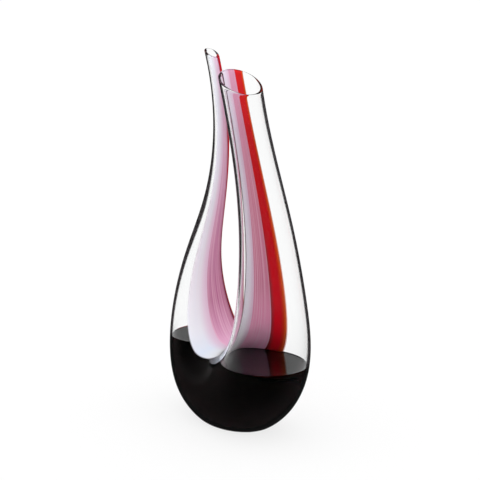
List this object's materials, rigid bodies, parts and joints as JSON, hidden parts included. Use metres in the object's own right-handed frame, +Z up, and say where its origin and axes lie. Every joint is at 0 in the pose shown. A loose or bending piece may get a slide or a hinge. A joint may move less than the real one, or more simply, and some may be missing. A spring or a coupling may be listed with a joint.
{
  "type": "wine decanter",
  "caption": "U-shaped blown glass wine decanter: wide filling mouth, slim pouring spout, round bulb with a flat base, coloured glass ribbons, part filled with wine.",
  "frame": {"origin": "centre of the flat base that it stands on, under the bulb", "axes": "+Z up, +X from the pouring spout towards the filling mouth, +Y across the U"},
  "size_m": [0.1884, 0.0884, 0.3435],
  "materials": {
    "clear_glass": "polished",
    "white_glass": "polished",
    "pink_glass": "polished",
    "red_glass": "polished",
    "orange_glass": "polished",
    "red_wine": "polished"
  },
  "bodies": {
    "root": {"clear_vessel": "clear_glass", "white_ribbon": "white_glass", "pink_ribbon": "pink_glass", "red_ribbon": "red_glass", "orange_ribbon": "orange_glass", "wine": "red_wine"}
  },
  "joints": []
}
